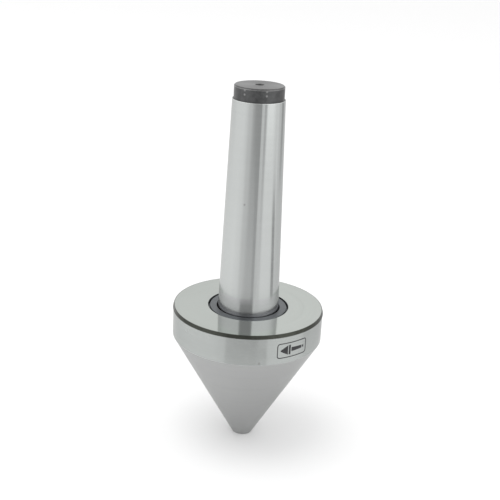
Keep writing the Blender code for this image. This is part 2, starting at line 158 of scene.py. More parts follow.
# Nicks, as (radius, azimuth in degrees, height). Those on the stub are pairs, this far below its end face.
TAPER_NICKS = [(0.0110, -18, 0.1014)]
RIM_NICKS = [(0.0298, 10, 0.0452), (0.0298, 10, 0.0456)]
NICK_RADIUS = 0.00035
NICK_COLOUR = (0.32, 0.32, 0.32)
STUB_NICK_AZIMUTHS = (-34, 17)
STUB_NICK_DEPTHS = (0.0009, 0.0025)
STUB_NICK_RADIUS = 0.00045

# Etched mark on the rim: a rounded frame round a side view of a center, with no lettering. The bars of the
# side view run along the mark: start and end, and the half height at each.
MARK_AZIMUTH = radians(36.5)
MARK_HEIGHT = 0.0497
MARK_WIDTH = 0.0138
MARK_TALL = 0.0062
MARK_CORNER = 0.0012
MARK_LINE = 0.00035
MARK_THICKNESS = 0.00003
MARK_STEP = 0.0003
MARK_CORNER_STEPS = 8
MARK_BARS = [
    (-0.0054, -0.0022, 0.0002, 0.00195),
    (-0.0018, -0.0010, 0.00195, 0.00195),
    (-0.0006, 0.0044, 0.00085, 0.00060),
    (0.0048, 0.0055, 0.00045, 0.00045),
]

# Studio. The room is a floor ring and a wall ring that only reflections see.
# A ring runs from one radius to another on the floor, or between two heights on the wall, in so many steps.
WORLD_STRENGTH = 1.05
FLOOR_COLOUR = (0.92, 0.92, 0.92)
FLOOR_RADIUS = 6.0
FLOOR_SEGMENTS = 96
FLOOR_DROP = 0.00002
OVERHEAD_PLACE = (-0.35, -0.12, 1.3)
OVERHEAD_SIZE = 0.9
OVERHEAD_POWER = 4.0
ROOM_BRIGHTNESS = 1.04
ROOM_TURNS = 720
FLOOR_RING = (0.105, 1.000, 60)
FLOOR_RING_HEIGHT = 0.0005
RIM_REACH, SHANK_REACH, FAR_REACH = 0.155, 0.180, 0.800
WALL_RADIUS = 1.0
WALL_RING = (0.0, 1.80, 36)
SKIRTING_LOW, SKIRTING_HIGH = 0.20, 0.28

# What the shank mirrors, in stripes: the change of brightness at its thick and at its thin end, then four
# azimuths in degrees, where the stripe starts and ends and how far it fades before and after.
SHANK_STRIPES = [
    (-0.17, -0.17, -32, 15, 20, 2),
    (-0.10, -0.28, -12, 15, 18, 2),
    (-0.16, -0.16, 17, 22, 2, 8),
    (-0.10, -0.38, 29, 34, 4, 5),
    (-0.15, -0.15, 105, 180, 10, 1),
    (0.11, 0.0, -150, -85, 10, 35),
    (0.045, 0.0, -72, -46, 15, 10),
    (0.045, 0.0, 45, 72, 8, 10),
]
# What the rim mirrors, and what the back face mirrors: the change, and the same four azimuths.
RIM_STRIPES = [(-0.32, -27, 27, 2, 2), (-0.10, 100, 180, 30, 5)]
BACK_STRIPES = [
    (0.36, -80, 15, 60, 4),
    (0.62, 18, 75, 4, 75),
    (-0.76, -29, 15, 7, 5),
    (0.12, -145, -115, 12, 30),
    (-0.045, -180, -174, 1, 4),
]


def height_span(node):
    """The lowest and highest z of a CAD node."""
    low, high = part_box(node)
    return low.z, high.z


def on_surface(radius, azimuth, height):
    """The point at a radius, an azimuth in degrees and a height."""
    return (radius * sin(radians(azimuth)), -radius * cos(radians(azimuth)), height)


def even_steps(start, end, count):
    return [start + (end - start) * index / count for index in range(count + 1)]


def smooth_step(start, end, value):
    """0 before the start, 1 after the end, and a smooth rise between them."""
    share = min(max((value - start) / (end - start), 0.0), 1.0)
    return share * share * (3.0 - 2.0 * share)


# ---------------------------------------------------------------------------------------------- materials

# The share of a reflection that bare steel keeps at its limbs, how often fine and broad machining rings
# vary on their way round the axis (per metre), and how many broad rings there are to a fine one. Then how
# many turning lines per metre show through a black coat and on brass, and how often those vary.
LIMB_TINT = 0.8
ALONG_RINGS, ALONG_BROAD_RINGS = 30.0, 12.0
BROAD_SHARE = 0.08
COAT_LINES, BRASS_LINES = 3500.0, 5000.0
ALONG_TURNED_LINES = 40.0


def add(tree, kind, **settings):
    node = tree.nodes.new(kind)
    for key, value in settings.items():
        setattr(node, key, value)
    return node


def new_metal(name, metallic, edge_tint=1.0):
    """A fresh material, its node tree and its Principled shader. edge_tint dulls reflections at the limbs."""
    made = bpy.data.materials.new(name)
    made.use_nodes = True
    shader = made.node_tree.nodes["Principled BSDF"]
    shader.inputs["Metallic"].default_value = metallic
    shader.inputs["Specular Tint"].default_value = (edge_tint, edge_tint, edge_tint, 1.0)
    return made, made.node_tree, shader


def lathe_coordinates(tree, across, around):
    """Coordinates in which noise makes rings round the axis: fine along the outline, long round the piece."""
    place = add(tree, "ShaderNodeTexCoord")
    parts = add(tree, "ShaderNodeSeparateXYZ")
    flat = add(tree, "ShaderNodeCombineXYZ")
    radius = add(tree, "ShaderNodeVectorMath", operation="LENGTH")
    along = add(tree, "ShaderNodeMath", operation="ADD")
    joined = add(tree, "ShaderNodeCombineXYZ")
    scaled = add(tree, "ShaderNodeVectorMath", operation="MULTIPLY")
    scaled.inputs[1].default_value = (around, around, across)
    link = tree.links.new
    link(place.outputs["Object"], parts.inputs[0])
    link(parts.outputs["X"], flat.inputs["X"])
    link(parts.outputs["Y"], flat.inputs["Y"])
    link(flat.outputs[0], radius.inputs[0])
    link(parts.outputs["Z"], along.inputs[0])
    link(radius.outputs["Value"], along.inputs[1])
    link(parts.outputs["X"], joined.inputs["X"])
    link(parts.outputs["Y"], joined.inputs["Y"])
    link(along.outputs[0], joined.inputs["Z"])
    link(joined.outputs[0], scaled.inputs[0])
    return scaled.outputs[0]


def object_place(tree):
    return add(tree, "ShaderNodeTexCoord").outputs["Object"]


def noise(tree, vector, scale=1.0, detail=2.0, roughness=0.5):
    node = add(tree, "ShaderNodeTexNoise")
    node.inputs["Scale"].default_value = scale
    node.inputs["Detail"].default_value = detail
    node.inputs["Roughness"].default_value = roughness
    tree.links.new(vector, node.inputs["Vector"])
    return node.outputs["Fac"]


def spread(tree, value, low, high, start=0.3, end=0.7):
    """Maps a noise value from [start, end] onto [low, high]."""
    node = add(tree, "ShaderNodeMapRange")
    node.inputs["From Min"].default_value = start
    node.inputs["From Max"].default_value = end
    node.inputs["To Min"].default_value = low
    node.inputs["To Max"].default_value = high
    tree.links.new(value, node.inputs["Value"])
    return node.outputs["Result"]


def combine(tree, operation, first, second):
    node = add(tree, "ShaderNodeMath", operation=operation)
    tree.links.new(first, node.inputs[0])
    tree.links.new(second, node.inputs[1])
    return node.outputs[0]


def tint(tree, factor, dark, light):
    """A colour between two, by a factor from 0 to 1."""
    node = add(tree, "ShaderNodeMix", data_type="RGBA")
    first, second = (s for s in node.inputs if s.type == "RGBA")
    first.default_value = (*dark, 1.0)
    second.default_value = (*light, 1.0)
    tree.links.new(factor, node.inputs["Factor"])
    return next(s for s in node.outputs if s.type == "RGBA")


def blend(tree, factor, surface, colour):
    """A varying surface colour that gives way to a plain one, by a factor from 0 to 1."""
    node = add(tree, "ShaderNodeMix", data_type="RGBA")
    first, second = (s for s in node.inputs if s.type == "RGBA")
    second.default_value = (*colour, 1.0)
    tree.links.new(surface, first)
    tree.links.new(factor, node.inputs["Factor"])
    return next(s for s in node.outputs if s.type == "RGBA")


def shade_of(colour, share):
    return tuple(channel * share for channel in colour)


def add_bump(tree, shader, height, distance):
    bump = add(tree, "ShaderNodeBump")
    bump.inputs["Strength"].default_value = 1.0
    bump.inputs["Distance"].default_value = distance
    tree.links.new(height, bump.inputs["Height"])
    tree.links.new(bump.outputs["Normal"], shader.inputs["Normal"])


def lay_grain_round_axis(tree, shader, anisotropy):
    """Stretches highlights along the outline, as lines that run round the axis do."""
    tangent = add(tree, "ShaderNodeTangent", direction_type="RADIAL", axis="Z")
    tree.links.new(tangent.outputs["Tangent"], shader.inputs["Tangent"])
    shader.inputs["Anisotropic"].default_value = anisotropy
    shader.inputs["Anisotropic Rotation"].default_value = 0.25


def machined_steel(
    name, colour, roughness, lines, line_depth, anisotropy, smudge=0.05, contrast=0.05, nicks=()
):
    """Bare steel with machining lines round the axis (per metre, and how deep), smudges and dark nicks."""
    made, tree, shader = new_metal(name, 1.0, LIMB_TINT)
    place = object_place(tree)
    fine = noise(tree, lathe_coordinates(tree, lines, ALONG_RINGS), detail=3.0, roughness=0.6)
    broad = noise(tree, lathe_coordinates(tree, lines * BROAD_SHARE, ALONG_BROAD_RINGS), detail=2.0)
    hands = noise(tree, place, scale=70.0, detail=4.0, roughness=0.6)
    rings = combine(tree, "ADD", spread(tree, fine, 0.0, 0.5), spread(tree, broad, 0.0, 0.25))
    both = combine(tree, "ADD", rings, spread(tree, hands, 0.0, 0.25))
    dark, light = shade_of(colour, 1.0 - contrast), shade_of(colour, 1.0 + contrast)
    surface = tint(tree, both, dark, light)
    if nicks:
        surface = blend(tree, spots(tree, nicks, NICK_RADIUS), surface, NICK_COLOUR)
    tree.links.new(surface, shader.inputs["Base Color"])
    worn = spread(tree, hands, roughness - smudge, roughness + smudge, 0.35, 0.65)
    streak = spread(tree, fine, -0.03, 0.03)
    tree.links.new(combine(tree, "ADD", worn, streak), shader.inputs["Roughness"])
    add_bump(tree, shader, fine, line_depth)
    lay_grain_round_axis(tree, shader, anisotropy)
    return made


def spots(tree, centres, radius):
    """1 within a radius of any of the centres, softly falling to 0 outside it."""
    place = object_place(tree)
    found = None
    for centre in centres:
        away = add(tree, "ShaderNodeVectorMath", operation="DISTANCE")
        away.inputs[1].default_value = centre
        tree.links.new(place, away.inputs[0])
        mask = spread(tree, away.outputs["Value"], 1.0, 0.0, 0.5 * radius, 1.2 * radius)
        found = combine(tree, "MAXIMUM", found, mask) if found else mask
    return found


def oxide_steel(name, colour, bare, roughness, wear, metallic=0.85, nicks=()):
    """Blackened steel: turned lines, a mottled coat, small specks worn to bare metal, and any nicks."""
    made, tree, shader = new_metal(name, metallic)
    place = object_place(tree)
    turned = noise(tree, lathe_coordinates(tree, COAT_LINES, ALONG_TURNED_LINES), detail=3.0)
    mottle = noise(tree, place, scale=420.0, detail=5.0, roughness=0.65)
    specks = noise(tree, place, scale=1500.0, detail=3.0, roughness=0.7)
    coat = tint(tree, spread(tree, mottle, 0.0, 1.0), shade_of(colour, 0.75), shade_of(colour, 1.3))
    mask = spread(tree, specks, 0.0, 1.0, 0.72 - wear, 0.78 - wear)
    if nicks:
        mask = combine(tree, "MAXIMUM", mask, spots(tree, nicks, STUB_NICK_RADIUS))
    tree.links.new(blend(tree, mask, coat, bare), shader.inputs["Base Color"])
    tree.links.new(spread(tree, mottle, roughness - 0.08, roughness + 0.08), shader.inputs["Roughness"])
    add_bump(tree, shader, combine(tree, "ADD", turned, mottle), 0.000004)
    lay_grain_round_axis(tree, shader, 0.4)
    return made


def polished_ball_steel():
    """Lapped steel with crossing hairline scratches."""
    made, tree, shader = new_metal("ball_steel_lapped", 1.0)
    place = object_place(tree)
    scratches = noise(tree, place, scale=2600.0, detail=6.0, roughness=0.75)
    film = noise(tree, place, scale=350.0, detail=2.0)
    colour = tint(tree, spread(tree, film, 0.0, 1.0), (0.60, 0.60, 0.61), (0.68, 0.68, 0.69))
    tree.links.new(colour, shader.inputs["Base Color"])
    tree.links.new(spread(tree, scratches, 0.06, 0.14), shader.inputs["Roughness"])
    add_bump(tree, shader, scratches, 0.0000006)
    return made


def cage_brass():
    """Turned brass, tarnished in patches."""
    made, tree, shader = new_metal("cage_brass_turned", 1.0)
    place = object_place(tree)
    turned = noise(tree, lathe_coordinates(tree, BRASS_LINES, ALONG_TURNED_LINES), detail=3.0)
    tarnish = noise(tree, place, scale=260.0, detail=4.0, roughness=0.6)
    colour = tint(tree, spread(tree, tarnish, 0.0, 1.0), (0.50, 0.36, 0.15), (0.70, 0.55, 0.29))
    tree.links.new(colour, shader.inputs["Base Color"])
    tree.links.new(spread(tree, tarnish, 0.42, 0.26), shader.inputs["Roughness"])
    add_bump(tree, shader, turned, 0.000003)
    lay_grain_round_axis(tree, shader, 0.5)
    return made


def stub_nicks():
    """Two pairs of nicks, one above the other, on the stub's front left and front right."""
    top = height_span("arbor")[1]
    return [
        on_surface(STUB_RADIUS, azimuth, top - below)
        for azimuth in STUB_NICK_AZIMUTHS
        for below in STUB_NICK_DEPTHS
    ]


# Finishes by name. Bare steel: colour, roughness, machining lines per metre, their depth, how strongly they
# draw out highlights, and then smudges and contrast. Blackened steel: colour, bare metal, roughness and wear.
GROUND = (0.509, 0.525, 0.518)
SATIN = (0.438, 0.457, 0.446)
OXIDE = (0.085, 0.086, 0.087)
BARE = (0.34, 0.34, 0.34)

FINISHES = {
    "taper": machined_steel(
        "shank_ground_taper", GROUND, 0.14, 6000.0, 0.0000002, 0.90, 0.03, 0.03,
        [on_surface(*nick) for nick in TAPER_NICKS],
    ),
    # Painted highlight: the rounded edge at the taper's thin end is coloured lighter than the taper, for a
    # highlight on it.
    "worn_edge": machined_steel("shank_taper_edge_painted_highlight", (0.66, 0.68, 0.67), 0.24, 5000.0, 0.0000008, 0.7),
    "collar": machined_steel(
        "shank_collar", (0.518, 0.518, 0.528), 0.20, 5200.0, 0.0000002, 0.85, 0.02, 0.02
    ),
    "journal": machined_steel("shank_journals", GROUND, 0.22, 7000.0, 0.0000008, 0.8),
    "end_face": machined_steel(
        "shank_end_faced", (0.25, 0.25, 0.25), 0.38, 2600.0, 0.0000020, 0.7, contrast=0.26
    ),
    # Painted shade: the center hole in the shank's end is coloured near black, for the shade inside it.
    "hole": oxide_steel("shank_center_hole_painted_shade", (0.07, 0.07, 0.07), BARE, 0.40, 0.0),
    "stub": oxide_steel("shank_stub_blackened", OXIDE, (0.22, 0.22, 0.22), 0.42, 0.0, nicks=stub_nicks()),
    "stub_edge": oxide_steel("shank_stub_worn_edge", (0.20, 0.20, 0.20), BARE, 0.36, 0.06),
    "stub_chamfer": oxide_steel("shank_stub_chamfer", (0.10, 0.10, 0.10), BARE, 0.40, 0.02),
    "shoulder": oxide_steel("shank_shoulder_dark", (0.10, 0.10, 0.10), BARE, 0.46, 0.04),
    "cone": machined_steel("head_cone_satin", (0.446, 0.451, 0.449), 0.36, 4200.0, 0.0000018, 0.6),
    "rim": machined_steel(
        "head_rim_ground", SATIN, 0.22, 6000.0, 0.0000003, 0.85,
        nicks=[on_surface(*nick) for nick in RIM_NICKS],
    ),
    "band": oxide_steel("head_edge_band_dark", (0.050, 0.053, 0.045), BARE, 0.36, 0.02),
    "back": machined_steel("head_back_ground", (0.518, 0.546, 0.520), 0.11, 4500.0, 0.0000002, 0.7, 0.03),
    "bore": machined_steel("head_bores_honed", SATIN, 0.30, 5200.0, 0.0000015, 0.6),
    "dust_ring": oxide_steel("dust_ring_blackened", (0.115, 0.125, 0.132), BARE, 0.36, 0.0),
    "bearing": machined_steel("bearing_rings_ground", (0.56, 0.56, 0.565), 0.20, 8000.0, 0.0000006, 0.7),
    "race": machined_steel("raceways_polished", (0.60, 0.60, 0.605), 0.12, 9000.0, 0.0000003, 0.5),
    "spring": oxide_steel("circlips_phosphated", (0.07, 0.07, 0.075), (0.30, 0.30, 0.30), 0.48, 0.0),
    "ball": polished_ball_steel(),
    "brass": cage_brass(),
    "etched": oxide_steel("rim_mark_etched", (0.030, 0.030, 0.032), (0.12, 0.12, 0.12), 0.60, 0.0, 0.3),
}


# ------------------------------------------------------------------------------------------ turned pieces
# An outline is a list of stations (radius, height, normal, finish). It runs with the metal on its left:
# outwards below, up the outside, inwards above and down a bore. Two stations at one place make a sharp edge.

def direction(start, end):
    length = hypot(end[0] - start[0], end[1] - start[1])
    return (end[0] - start[0]) / length, (end[1] - start[1]) / length


def turned_angle(before, after):
    """The signed angle from one direction to the next, positive to the left."""
    cross = before[0] * after[1] - before[1] * after[0]
    dot = before[0] * after[0] + before[1] * after[1]
    return atan2(cross, dot)


def rotated(vector, angle):
    return (
        vector[0] * cos(angle) - vector[1] * sin(angle),
        vector[0] * sin(angle) + vector[1] * cos(angle),
    )


def right_of(heading):
    return heading[1], -heading[0]


def rounded_corner(corner, before, after):
    """The stations that take an outline round one corner (radius, height, rounding, finish)."""
    radius, height, rounding, finish = corner
    into, out = right_of(before), right_of(after)
    angle = turned_angle(before, after)
    if rounding == 0.0 or abs(angle) < STRAIGHT_ON:
        return [(radius, height, into, finish), (radius, height, out, finish)]
    trim = rounding * tan(abs(angle) / 2)
    side = 1.0 if angle > 0 else -1.0
    centre = (
        radius - before[0] * trim - side * into[0] * rounding,
        height - before[1] * trim - side * into[1] * rounding,
    )
    stations = []
    for step in range(CORNER_STEPS + 1):
        normal = rotated(into, angle * step / CORNER_STEPS)
        place = [middle + side * part * rounding for middle, part in zip(centre, normal)]
        stations.append((place[0], place[1], normal, finish))
    return stations


def open_outline(corners):
    """An outline from its first corner to its last, both of them sharp."""
    headings = [direction(a, b) for a, b in zip(corners, corners[1:])]
    first, last = corners[0], corners[-1]
    stations = [(first[0], first[1], right_of(headings[0]), first[3])]
    for corner, before, after in zip(corners[1:], headings, headings[1:]):
        stations += rounded_corner(corner, before, after)
    stations.append((last[0], last[1], right_of(headings[-1]), last[3]))
    return stations


def closed_outline(corners):
    count = len(corners)
    headings = [direction(corners[i], corners[(i + 1) % count]) for i in range(count)]
    stations = []
    for index, corner in enumerate(corners):
        stations += rounded_corner(corner, headings[index - 1], headings[index])
    return stations + stations[:1]


def raceway(pitch, groove, start, end, finish="race"):
    """The stations of a ball groove, between two angles in degrees from +r towards +z."""
    stations = []
    for step in range(RACE_STEPS + 1):
        angle = radians(start + (end - start) * step / RACE_STEPS)
        across, up = cos(angle), sin(angle)
        stations.append((pitch + groove * across, groove * up, (-across, -up), finish))
    return stations


def same_place(one, other):
    """Whether two stations lie at one place."""
    return hypot(one[0] - other[0], one[1] - other[1]) < SAME_PLACE


def ring_of_vertices(station, segments):
    radius, height = station[:2]
    if radius < SAME_PLACE:
        return [(0.0, 0.0, height)]
    turns = [2 * pi * index / segments for index in range(segments)]
    return [(radius * cos(turn), radius * sin(turn), height) for turn in turns]


def turned_mesh(name, stations, segments, raise_by=0.0):
    """Turns an outline about Z. Each corner of each face gets the outline's own normal."""
    vertices, faces, normals, finishes = [], [], [], []
    turns = [2 * pi * index / segments for index in range(segments + 1)]

    def normal_at(station, step):
        across, up = station[2]
        return (across * cos(turns[step]), across * sin(turns[step]), up)

    def add_ring(station):
        lifted = (station[0], station[1] + raise_by)
        start = len(vertices)
        vertices.extend(ring_of_vertices(lifted, segments))
        return list(range(start, len(vertices)))

    closes = same_place(stations[0], stations[-1])
    spans = [(near, far) for near, far in zip(stations, stations[1:]) if not same_place(near, far)]
    first_ring = lower = add_ring(stations[0])
    for index, (near, far) in enumerate(spans):
        upper = first_ring if closes and index == len(spans) - 1 else add_ring(far)
        for step in range(segments):
            after = (step + 1) % segments
            loops = []
            if len(lower) == 1:
                loops += [(lower[0], near, step)]
            else:
                loops += [(lower[step], near, step), (lower[after], near, step + 1)]
            if len(upper) == 1:
                loops += [(upper[0], far, step)]
            else:
                loops += [(upper[after], far, step + 1), (upper[step], far, step)]
            faces.append([loop[0] for loop in loops])
            normals += [normal_at(loop[1], loop[2]) for loop in loops]
            finishes.append(near[3])
        lower = upper
    return finished_mesh(name, vertices, faces, finishes, normals)


def finished_mesh(name, vertices, faces, finishes, normals=None):
    """A smooth mesh whose faces take their materials by finish name."""
    mesh = bpy.data.meshes.new(name)
    mesh.from_pydata(vertices, [], faces)
    used = sorted(set(finishes))
    for finish in used:
        mesh.materials.append(FINISHES[finish])
    mesh.polygons.foreach_set("material_index", [used.index(finish) for finish in finishes])
    mesh.shade_smooth()
    if normals:
        mesh.normals_split_custom_set(normals)
    mesh.update()
    return mesh


def show(name, mesh, body, slot, *nodes, place=(0.0, 0.0, 0.0)):
    """Puts a piece in the scene on its CAD body, in place of the CAD nodes that it stands for."""
    piece = bpy.data.objects.new(name, mesh)
    bpy.context.scene.collection.objects.link(piece)
    piece.location = place
    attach(piece, body)
    if nodes:
        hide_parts(*nodes)
    return piece


def center_hole(face, inward, finish):
    """The corners of a center hole, from its bottom on the axis to its mouth in an end face."""
    sink = (CENTER_MOUTH_RADIUS - CENTER_PILOT_RADIUS) / tan(CONE_HALF_ANGLE)
    point = CENTER_PILOT_RADIUS * tan(CONE_HALF_ANGLE)
    return [
        (0.0, face + inward * (CENTER_DEPTH + point), 0.0, finish),
        (CENTER_PILOT_RADIUS, face + inward * CENTER_DEPTH, 0.0, finish),
        (CENTER_PILOT_RADIUS, face + inward * sink, 0.0, finish),
        (CENTER_MOUTH_RADIUS, face, SOFT_EDGE, finish),
    ]


def journal_groove(radius, depth, circlip):
    """The corners of a retaining-ring groove in a journal, from its lower edge up."""
    low, high = height_span(circlip)
    low, high = low - GROOVE_PLAY, high + GROOVE_PLAY
    return [
        (radius, low, FINE_EDGE, "journal"),
        (radius - depth, low, FINE_EDGE, "journal"),
        (radius - depth, high, FINE_EDGE, "journal"),
        (radius, high, FINE_EDGE, "journal"),
    ]


def make_arbor():
    """The shank and the journals inside the head, in one bar."""
    nose, shank_end = height_span("arbor")
    gauge_plane = next(m for m in RECORD["mounts"] if m["name"] == "morse_taper")["pos_m"][2]
    taper_end = shank_end - STUB_LENGTH
    taper_end_radius = GAUGE_RADIUS - (taper_end - gauge_plane) * TAPER_PER_RADIUS
    collar_bottom = height_span("dust_ring")[0] - SEAT_GAP
    collar_radius = GAUGE_RADIUS + (gauge_plane - collar_bottom) * TAPER_PER_RADIUS
    front_shoulder = height_span("front_bearing_inner_ring")[1] + SEAT_GAP
    thrust_shoulder = height_span("thrust_shaft_washer")[1] + SEAT_GAP
    land_bottom = height_span("rear_bearing_inner_ring")[1] + SEAT_GAP
    corners = center_hole(nose, 1, "journal")
    corners += [(FRONT_JOURNAL_RADIUS, nose, BROKEN_EDGE, "journal")]
    corners += journal_groove(FRONT_JOURNAL_RADIUS, NOSE_GROOVE_DEPTH, "nose_circlip")
    corners += [
        (FRONT_JOURNAL_RADIUS, front_shoulder, SOFT_EDGE, "journal"),
        (THRUST_JOURNAL_RADIUS, front_shoulder, SOFT_EDGE, "journal"),
        (THRUST_JOURNAL_RADIUS, thrust_shoulder, SOFT_EDGE, "journal"),
        (REAR_JOURNAL_RADIUS, thrust_shoulder, SOFT_EDGE, "journal"),
    ]
    corners += journal_groove(REAR_JOURNAL_RADIUS, JOURNAL_GROOVE_DEPTH, "journal_circlip")
    corners += [
        (REAR_JOURNAL_RADIUS, land_bottom, SOFT_EDGE, "journal"),
        (LAND_RADIUS, land_bottom, SOFT_EDGE, "journal"),
        (LAND_RADIUS, collar_bottom, SOFT_EDGE, "collar"),
        (collar_radius, collar_bottom, SOFT_EDGE, "collar"),
        (GAUGE_RADIUS, gauge_plane, 0.0, "taper"),
        # The rounded edge at the taper's thin end takes the lighter finish, a painted highlight.
        (taper_end_radius, taper_end, SOFT_EDGE, "worn_edge"),
        (taper_end_radius - SOFT_EDGE, taper_end, 0.0, "shoulder"),
        (STUB_RADIUS, taper_end, SOFT_EDGE, "stub"),
        (STUB_RADIUS, shank_end - STUB_BREAK - STUB_WORN, 0.0, "stub_edge"),
        (STUB_RADIUS, shank_end - STUB_BREAK, FINE_EDGE, "stub_chamfer"),
        (STUB_RADIUS - STUB_BREAK, shank_end, FINE_EDGE, "end_face"),
    ]
    # The center hole at this end takes the near-black finish, which is painted shade.
    corners += reversed(center_hole(shank_end, -1, "hole"))
    mesh = turned_mesh("live_center_arbor", open_outline(corners), BODY_SEGMENTS)
    show("live_center_arbor", mesh, "arbor", "ground_steel", "arbor")


def make_cone_head():
    """The revolving head: cone, rim and dark edge band outside, and the stepped bearing bore inside."""
    tip, back = height_span("cone_head")
    band_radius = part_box("cone_head")[1].x
    rim_bottom = tip + (RIM_RADIUS - TIP_RADIUS) / tan(CONE_HALF_ANGLE)
    band_bottom = back - BAND_HEIGHT
    rear_step = height_span("rear_bearing_outer_ring")[0] - SEAT_GAP
    thrust_step = height_span("thrust_housing_washer")[0] - SEAT_GAP
    front_step = height_span("front_bearing_outer_ring")[0] - SEAT_GAP
    groove_low, groove_high = height_span("head_circlip")
    groove_radius = RECESS_RADIUS + HEAD_GROOVE_DEPTH
    corners = [
        (0.0, tip, 0.0, "cone"),
        (TIP_RADIUS, tip, SOFT_EDGE, "cone"),
        (RIM_RADIUS, rim_bottom, BROKEN_EDGE, "rim"),
        (RIM_RADIUS, band_bottom, 0.0, "band"),
        (band_radius, band_bottom, FINE_EDGE, "band"),
        (BAND_TOP_RADIUS, back, FINE_EDGE, "band"),
        (BAND_TOP_RADIUS - BAND_STAIN, back, 0.0, "back"),
        (RECESS_RADIUS, back, SOFT_EDGE, "bore"),
        (RECESS_RADIUS, groove_high + GROOVE_PLAY, FINE_EDGE, "bore"),
        (groove_radius, groove_high + GROOVE_PLAY, FINE_EDGE, "bore"),
        (groove_radius, groove_low - GROOVE_PLAY, FINE_EDGE, "bore"),
        (RECESS_RADIUS, groove_low - GROOVE_PLAY, FINE_EDGE, "bore"),
        (RECESS_RADIUS, rear_step, SOFT_EDGE, "bore"),
        (THRUST_BORE_RADIUS, rear_step, SOFT_EDGE, "bore"),
        (THRUST_BORE_RADIUS, thrust_step, SOFT_EDGE, "bore"),
        (FRONT_BORE_RADIUS, thrust_step, SOFT_EDGE, "bore"),
        (FRONT_BORE_RADIUS, front_step, SOFT_EDGE, "bore"),
        (POCKET_RADIUS, front_step, SOFT_EDGE, "bore"),
        (POCKET_RADIUS, front_step - POCKET_DEPTH, BROKEN_EDGE, "bore"),
        (0.0, front_step - POCKET_DEPTH, 0.0, "bore"),
    ]
    mesh = turned_mesh("revolving_cone_head", open_outline(corners), BODY_SEGMENTS)
    show("revolving_cone_head", mesh, "head", "head_steel", "cone_head")


def make_dust_ring():
    low, high = height_span("dust_ring")
    flange_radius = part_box("dust_ring")[1].x
    flange_top = high - DUST_LAND_HEIGHT
    corners = [
        (DUST_BORE_RADIUS, low, SOFT_EDGE, "dust_ring"),
        (flange_radius, low, SOFT_EDGE, "dust_ring"),
        (flange_radius, flange_top, SOFT_EDGE, "dust_ring"),
        (DUST_LAND_RADIUS, flange_top, FINE_EDGE, "dust_ring"),
        (DUST_LAND_RADIUS, high, BROKEN_EDGE, "dust_ring"),
        (DUST_BORE_RADIUS, high, BROKEN_EDGE, "dust_ring"),
    ]
    mesh = turned_mesh("dust_sealing_ring", closed_outline(corners), BODY_SEGMENTS)
    show("dust_sealing_ring", mesh, "head", "dark_ring_steel", "dust_ring")


# ----------------------------------------------------------------------------------------------- bearings

def make_outer_ring(node, bearing, body):
    """A deep-groove outer ring, with its raceway on the inside."""
    low, high = height_span(node)
    half, seat, shoulder = (high - low) / 2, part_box(node)[1].x, bearing.outer_shoulder
    groove = bearing.ball + RACE_GAP
    edge = degrees(acos((shoulder - bearing.pitch) / groove))
    reach = groove * sin(radians(edge))
    corners = [
        (shoulder, -reach, 0.0, "bearing"),
        (shoulder, -half, SOFT_EDGE, "bearing"),
        (seat, -half, BROKEN_EDGE, "bearing"),
        (seat, half, BROKEN_EDGE, "bearing"),
        (shoulder, half, SOFT_EDGE, "bearing"),
        (shoulder, reach, 0.0, "bearing"),
    ]
    stations = open_outline(corners) + raceway(bearing.pitch, groove, edge, -edge)
    mesh = turned_mesh(f"{node}_ground", stations, RING_SEGMENTS, (low + high) / 2)
    show(f"{node}_ground", mesh, body, "bearing_steel", node)


def make_inner_ring(node, journal, bearing, body):
    """A deep-groove inner ring on a journal, with its raceway on the outside."""
    low, high = height_span(node)
    half, bore, shoulder = (high - low) / 2, journal + SEAT_GAP, bearing.inner_shoulder
    groove = bearing.ball + RACE_GAP
    edge = degrees(acos((bearing.pitch - shoulder) / groove))
    reach = groove * sin(radians(edge))
    corners = [
        (shoulder, reach, 0.0, "bearing"),
        (shoulder, half, SOFT_EDGE, "bearing"),
        (bore, half, BROKEN_EDGE, "bearing"),
        (bore, -half, BROKEN_EDGE, "bearing"),
        (shoulder, -half, SOFT_EDGE, "bearing"),
        (shoulder, -reach, 0.0, "bearing"),
    ]
    stations = open_outline(corners) + raceway(bearing.pitch, groove, 180 + edge, 180 - edge)
    mesh = turned_mesh(f"{node}_ground", stations, RING_SEGMENTS, (low + high) / 2)
    show(f"{node}_ground", mesh, body, "bearing_steel", node)


def make_thrust_washer(node, bore, body):
    """A thrust washer, with its raceway on the side that faces the balls."""
    low, high = height_span(node)
    middle = sum(height_span("thrust_bearing_cage")) / 2
    side = 1 if low > middle else -1
    near, far = (low - middle, high - middle) if side == 1 else (middle - high, middle - low)
    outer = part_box(node)[1].x
    groove = THRUST.ball + RACE_GAP
    edge = degrees(acos(near / groove))
    reach = groove * sin(radians(edge))
    corners = [
        (THRUST.pitch + reach, near, 0.0, "bearing"),
        (outer, near, SOFT_EDGE, "bearing"),
        (outer, far, BROKEN_EDGE, "bearing"),
        (bore, far, BROKEN_EDGE, "bearing"),
        (bore, near, SOFT_EDGE, "bearing"),
        (THRUST.pitch - reach, near, 0.0, "bearing"),
    ]
    stations = open_outline(corners) + raceway(THRUST.pitch, groove, 90 + edge, 90 - edge)
    if side == -1:
        stations = [(r, -z, (across, -up), finish) for r, z, (across, up), finish in reversed(stations)]
    mesh = turned_mesh(f"{node}_ground", stations, RING_SEGMENTS, middle)
    show(f"{node}_ground", mesh, body, "bearing_steel", node)


